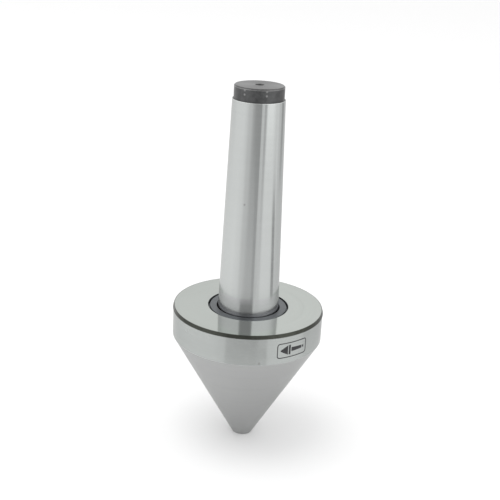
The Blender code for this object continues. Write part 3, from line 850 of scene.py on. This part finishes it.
def cut_with(piece, cutter):
    """Cuts one mesh object out of another for good, and removes the cutter."""
    cut = piece.modifiers.new("cut", "BOOLEAN")
    cut.operation = "DIFFERENCE"
    cut.solver = "EXACT"
    cut.object = cutter
    bpy.context.view_layer.update()
    evaluated = piece.evaluated_get(bpy.context.evaluated_depsgraph_get())
    mesh = bpy.data.meshes.new_from_object(evaluated)
    bpy.data.objects.remove(cutter, do_unlink=True)
    piece.modifiers.clear()
    piece.data = mesh
    mesh.shade_smooth()
    mesh.set_sharp_from_angle(angle=CUT_SHARP_FROM)


def add_cylinder(bm, segments, radius, length, place):
    bmesh.ops.create_cone(
        bm, cap_ends=True, segments=segments, radius1=radius, radius2=radius, depth=length, matrix=place
    )


def scratch_object(name, bm):
    mesh = bpy.data.meshes.new(name)
    bm.to_mesh(mesh)
    bm.free()
    made = bpy.data.objects.new(name, mesh)
    bpy.context.scene.collection.objects.link(made)
    return made


def make_cage(node, bearing, upright, body):
    """A turned brass cage with a round pocket for each ball, drilled upright or from the side."""
    low, high = height_span(node)
    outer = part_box(node)[1].x
    corners = [
        (bearing.cage_bore, low, SOFT_EDGE, "brass"),
        (outer, low, SOFT_EDGE, "brass"),
        (outer, high, SOFT_EDGE, "brass"),
        (bearing.cage_bore, high, SOFT_EDGE, "brass"),
    ]
    mesh = turned_mesh(f"{node}_turned", closed_outline(corners), RING_SEGMENTS)
    piece = show(f"{node}_turned", mesh, body, "cage_brass", node)
    pockets = bmesh.new()
    lean = Matrix.Identity(4) if upright else Matrix.Rotation(pi / 2, 4, "Y")
    middle = Matrix.Translation((0.0, 0.0, (low + high) / 2))
    outwards = Matrix.Translation((bearing.pitch, 0.0, 0.0))
    half_facet = Matrix.Rotation(pi / POCKET_SEGMENTS, 4, "Z")
    for index in range(bearing.count):
        turn = Matrix.Rotation(2 * pi * index / bearing.count, 4, "Z")
        place = middle @ turn @ outwards @ lean @ half_facet
        add_cylinder(pockets, POCKET_SEGMENTS, bearing.ball + RACE_GAP, 3 * bearing.ball, place)
    cut_with(piece, scratch_object("cage_pockets", pockets))


def make_balls(prefix, bearing, body):
    """Round balls made from a cube's faces, split evenly and pushed out to the ball's radius."""
    bm = bmesh.new()
    bmesh.ops.create_cube(bm, size=2.0)
    bmesh.ops.subdivide_edges(bm, edges=bm.edges, cuts=BALL_CUTS, use_grid_fill=True)
    for vertex in bm.verts:
        vertex.co = Vector([tan(part * pi / 4) for part in vertex.co]).normalized() * bearing.ball
    mesh = bpy.data.meshes.new(prefix)
    bm.to_mesh(mesh)
    bm.free()
    mesh.materials.append(FINISHES["ball"])
    mesh.shade_smooth()
    for index in range(1, bearing.count + 1):
        node = f"{prefix}_{index}"
        low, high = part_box(node)
        show(f"{node}_lapped", mesh, body, "ball_steel", node, place=(low + high) / 2)


def make_bearings():
    make_outer_ring("rear_bearing_outer_ring", REAR, "head")
    make_inner_ring("rear_bearing_inner_ring", REAR_JOURNAL_RADIUS, REAR, "arbor")
    make_outer_ring("front_bearing_outer_ring", FRONT, "head")
    make_inner_ring("front_bearing_inner_ring", FRONT_JOURNAL_RADIUS, FRONT, "arbor")
    make_thrust_washer("thrust_housing_washer", HOUSING_WASHER_BORE, "head")
    make_thrust_washer("thrust_shaft_washer", THRUST_JOURNAL_RADIUS + SEAT_GAP, "arbor")
    make_cage("rear_bearing_cage", REAR, False, "rear_cage")
    make_cage("thrust_bearing_cage", THRUST, True, "thrust_cage")
    make_cage("front_bearing_cage", FRONT, False, "front_cage")
    make_balls("rear_bearing_ball", REAR, "rear_cage")
    make_balls("thrust_bearing_ball", THRUST, "thrust_cage")
    make_balls("front_bearing_ball", FRONT, "front_cage")


# ------------------------------------------------------------------------- strips: retaining rings and mark

def facing_outwards(mesh):
    """Turns every face of a closed mesh outwards."""
    bm = bmesh.new()
    bm.from_mesh(mesh)
    bmesh.ops.recalc_face_normals(bm, faces=bm.faces)
    bm.to_mesh(mesh)
    bm.free()


def strip_faces(count, closed):
    """Faces round a solid strip, which has four vertices to a row: inner low and high, outer low and high."""
    faces = []
    for row in range(count if closed else count - 1):
        a, b = 4 * row, 4 * ((row + 1) % count)
        faces += [
            (a + 1, b + 1, b + 3, a + 3),
            (a, a + 2, b + 2, b),
            (a, b, b + 1, a + 1),
            (a + 2, a + 3, b + 3, b + 2),
        ]
    if not closed:
        end = 4 * (count - 1)
        faces += [(0, 1, 3, 2), (end, end + 2, end + 3, end + 1)]
    return faces


def make_circlip(node, body, seat, back, lug, half_gap, lug_width):
    """A retaining ring stamped from sheet, with a lug and a plier hole on each side of its gap."""
    low, high = height_span(node)
    sweep = 360 - 2 * half_gap
    count = round(sweep / CIRCLIP_STEP)
    vertices = []
    for step in range(count + 1):
        turn = half_gap + sweep * step / count
        past_gap = min(turn, 360 - turn) - half_gap
        on_lug = 1.0 - smooth_step(lug_width * (1.0 - LUG_RAMP), lug_width * (1.0 + LUG_RAMP), past_gap)
        across, along = -sin(radians(turn)), cos(radians(turn))
        for radius in (seat, back + (lug - back) * on_lug):
            vertices += [(radius * across, radius * along, height) for height in (low, high)]
    faces = strip_faces(count + 1, False)
    mesh = finished_mesh(f"{node}_stamped", vertices, faces, ["spring"] * len(faces))
    facing_outwards(mesh)
    piece = show(f"{node}_stamped", mesh, body, "spring_steel", node)
    holes = bmesh.new()
    middle = (lug + back) / 2
    hole = middle * radians(lug_width) * PLIER_HOLE_SHARE
    for turn in (half_gap + lug_width / 2, -half_gap - lug_width / 2):
        place = (-middle * sin(radians(turn)), middle * cos(radians(turn)), (low + high) / 2)
        add_cylinder(holes, PLIER_HOLE_SEGMENTS, hole, 3 * (high - low), Matrix.Translation(place))
    cut_with(piece, scratch_object("plier_holes", holes))


def wrapped(across, up, lift):
    """A point of the mark, wrapped round the rim: along it, up it, and out from its surface."""
    azimuth = MARK_AZIMUTH + across / RIM_RADIUS
    radius = RIM_RADIUS + lift
    return (radius * sin(azimuth), -radius * cos(azimuth), MARK_HEIGHT + up)


def wrapped_strip(pairs, closed):
    """Vertices and faces of a thin solid strip, given by pairs of points (inner edge, outer edge)."""
    vertices = []
    for inner, outer in pairs:
        for point in (inner, outer):
            vertices += [wrapped(*point, -MARK_THICKNESS), wrapped(*point, MARK_THICKNESS)]
    return vertices, strip_faces(len(pairs), closed)


def mark_steps(start, end):
    return even_steps(start, end, max(2, round(abs(end - start) / MARK_STEP)))


def frame_pairs():
    """The rounded frame, as pairs of points on its inner and outer edge."""
    half_wide, half_tall = MARK_WIDTH / 2 - MARK_CORNER, MARK_TALL / 2 - MARK_CORNER
    edges = (MARK_CORNER - MARK_LINE, MARK_CORNER)
    pairs = []
    quarters = [(1, 1, 0), (-1, 1, 90), (-1, -1, 180), (1, -1, 270)]
    for side, level, start in quarters:
        for step in range(MARK_CORNER_STEPS + 1):
            angle = radians(start + 90 * step / MARK_CORNER_STEPS)
            pairs.append([
                (side * half_wide + edge * cos(angle), level * half_tall + edge * sin(angle))
                for edge in edges
            ])
        if level == side:
            for x in mark_steps(side * half_wide, -side * half_wide)[1:-1]:
                pairs.append([(x, level * (half_tall + edge)) for edge in edges])
    return pairs


def tapered_bar(start, end, start_half, end_half):
    """A filled bar of the pictogram, whose half height changes evenly along it."""
    pairs = []
    for x in mark_steps(start, end):
        half = start_half + (end_half - start_half) * (x - start) / (end - start)
        pairs.append(((x, -half), (x, half)))
    return pairs


def make_mark():
    """The etched frame and pictogram, joined in one thin piece on the rim."""
    strips = [wrapped_strip(frame_pairs(), True)]
    strips += [wrapped_strip(tapered_bar(*bar), False) for bar in MARK_BARS]
    vertices, faces = [], []
    for points, sides in strips:
        start = len(vertices)
        vertices += points
        faces += [tuple(index + start for index in side) for side in sides]
    mesh = finished_mesh("rim_etched_mark", vertices, faces, ["etched"] * len(faces))
    mesh.set_sharp_from_angle(angle=MARK_SHARP_FROM)
    facing_outwards(mesh)
    show("rim_etched_mark", mesh, "head", "dark_ring_steel")


# ------------------------------------------------------------------------------------------------- studio

def make_camera():
    data = bpy.data.cameras.new("camera")
    data.lens = CAMERA_LENS
    data.sensor_width = CAMERA_SENSOR
    data.clip_start, data.clip_end = CAMERA_NEAR, CAMERA_FAR
    camera = bpy.data.objects.new("camera", data)
    bpy.context.scene.collection.objects.link(camera)
    look = (CAMERA_TARGET - CAMERA_PLACE).to_track_quat("-Z", "Y").to_matrix().to_4x4()
    camera.matrix_world = Matrix.Translation(CAMERA_PLACE) @ look @ Matrix.Rotation(CAMERA_ROLL, 4, "Z")
    bpy.context.scene.camera = camera


def make_floor():
    """A wide pale floor at the height of the tip."""
    bm = bmesh.new()
    bmesh.ops.create_circle(bm, cap_ends=True, segments=FLOOR_SEGMENTS, radius=FLOOR_RADIUS)
    floor = scratch_object("studio_floor", bm)
    floor.location.z = CAD_BOX[0].z - FLOOR_DROP
    made, tree, shader = new_metal("studio_floor_matt", 0.0)
    shader.inputs["Base Color"].default_value = (*FLOOR_COLOUR, 1.0)
    shader.inputs["Roughness"].default_value = 0.9
    shader.inputs["Specular IOR Level"].default_value = 0.1
    floor.data.materials.append(made)


def make_world():
    world = bpy.data.worlds.new("studio")
    bpy.context.scene.world = world
    world.use_nodes = True
    background = world.node_tree.nodes["Background"]
    background.inputs["Color"].default_value = (1.0, 1.0, 1.0, 1.0)
    background.inputs["Strength"].default_value = WORLD_STRENGTH


def shadow(azimuth, start, end, fade_in, fade_out):
    """1 between two azimuths, fading to 0 over the angles given before and after them."""
    rising = smooth_step(start - fade_in, start, azimuth)
    falling = 1.0 - smooth_step(end, end + fade_out, azimuth)
    return rising * falling


def shank_surroundings(azimuth, outwards):
    """What the shank mirrors, from 0 at its thick end to 1 at its thin end: a soft dark gap in front,
    which ends in a sharp edge on the right, and narrow stripes between the lights beside it.
    """
    level = 1.0
    for thick_end, thin_end, *azimuths in SHANK_STRIPES:
        level += (thick_end + (thin_end - thick_end) * outwards) * shadow(azimuth, *azimuths)
    # The gap's darkest part, which leans to the left as it goes out.
    core = 9 - 18 * outwards
    level -= (0.15 - 0.06 * outwards) * shadow(azimuth, core, 15, 4, 2)
    # Two lights that only the thin end mirrors.
    level += 0.30 * smooth_step(0.80, 1.0, outwards) * shadow(azimuth, 44, 62, 6, 25)
    level += 0.07 * smooth_step(0.35, 1.0, outwards) * shadow(azimuth, -95, -56, 20, 4)
    # Two leaning stripes on the right, one for the thick end and one for the rest.
    near_share, near_stripe = 1.0 - smooth_step(0.15, 0.45, outwards), 93 - 25 * outwards
    level -= 0.55 * near_share * shadow(azimuth, near_stripe - 5, near_stripe + 5, 4, 4)
    far_share, far_stripe = smooth_step(0.30, 0.60, outwards), 116 + 12 * outwards
    level -= 0.32 * far_share * shadow(azimuth, far_stripe - 6, far_stripe + 6, 6, 6)
    return level


def with_stripes(azimuth, stripes):
    """An even brightness of 1, changed by stripes."""
    return 1.0 + sum(change * shadow(azimuth, *azimuths) for change, *azimuths in stripes)


def floor_brightness(azimuth, distance):
    """The floor ring's brightness: the rim mirrors its inner part, and the shank the rest."""
    near = with_stripes(azimuth, RIM_STRIPES)
    far = shank_surroundings(azimuth, smooth_step(SHANK_REACH, FAR_REACH, distance))
    return near + (far - near) * smooth_step(RIM_REACH, SHANK_REACH, distance)


def wall_brightness(azimuth, height):
    """The wall ring's brightness: what the back face mirrors, above a skirting that the shank mirrors."""
    upper = with_stripes(azimuth, BACK_STRIPES)
    skirting = shank_surroundings(azimuth, 1.0)
    return skirting + (upper - skirting) * smooth_step(SKIRTING_LOW, SKIRTING_HIGH, height)


def add_room_ring(name, rows, brightness):
    """A ring round the object, lit by azimuth. Rows are (radius, height, what the brightness depends on)."""
    vertices, glow, faces = [], [], []
    for radius, height, reach in rows:
        for turn in range(ROOM_TURNS):
            azimuth = -180 + 360 * turn / ROOM_TURNS
            vertices.append(on_surface(radius, azimuth, height))
            glow.append(brightness(azimuth, reach) * ROOM_BRIGHTNESS)
    for row in range(len(rows) - 1):
        for turn in range(ROOM_TURNS):
            low, after = row * ROOM_TURNS, (turn + 1) % ROOM_TURNS
            high = low + ROOM_TURNS
            faces.append((low + turn, high + turn, high + after, low + after))
    mesh = bpy.data.meshes.new(name)
    mesh.from_pydata(vertices, [], faces)
    mesh.attributes.new("glow", "FLOAT", "POINT").data.foreach_set("value", glow)
    mesh.materials.append(glowing_material())
    ring = bpy.data.objects.new(name, mesh)
    bpy.context.scene.collection.objects.link(ring)
    seen_only_in_reflections(ring)


def glowing_material():
    made = bpy.data.materials.get("studio_room") or bpy.data.materials.new("studio_room")
    made.use_nodes = True
    tree = made.node_tree
    tree.nodes.clear()
    glow = add(tree, "ShaderNodeAttribute", attribute_name="glow")
    emission = add(tree, "ShaderNodeEmission")
    out = add(tree, "ShaderNodeOutputMaterial")
    tree.links.new(glow.outputs["Fac"], emission.inputs["Strength"])
    tree.links.new(emission.outputs[0], out.inputs["Surface"])
    return made


def make_room():
    floor_rows = [(reach, FLOOR_RING_HEIGHT, reach) for reach in even_steps(*FLOOR_RING)]
    add_room_ring("studio_floor_ring", floor_rows, floor_brightness)
    wall_rows = [(WALL_RADIUS, height, height) for height in even_steps(*WALL_RING)]
    add_room_ring("studio_wall_ring", wall_rows, wall_brightness)


def make_overhead_light():
    """A broad soft light above and to the left, which draws the head's shadow together under it."""
    data = bpy.data.lights.new("overhead_softbox", "AREA")
    data.shape = "DISK"
    data.size = OVERHEAD_SIZE
    data.energy = OVERHEAD_POWER
    light = bpy.data.objects.new("overhead_softbox", data)
    light.location = OVERHEAD_PLACE
    light.visible_glossy = False
    bpy.context.scene.collection.objects.link(light)


def seen_only_in_reflections(thing):
    thing.visible_camera = False
    thing.visible_diffuse = False
    thing.visible_transmission = False
    thing.visible_volume_scatter = False
    thing.visible_shadow = False


make_camera()
make_floor()
make_world()
make_overhead_light()
make_room()
make_arbor()
make_cone_head()
make_dust_ring()
make_bearings()
for circlip, sizes in CIRCLIPS.items():
    make_circlip(circlip, *sizes)
make_mark()
bpy.context.scene.view_settings.view_transform = "Standard"
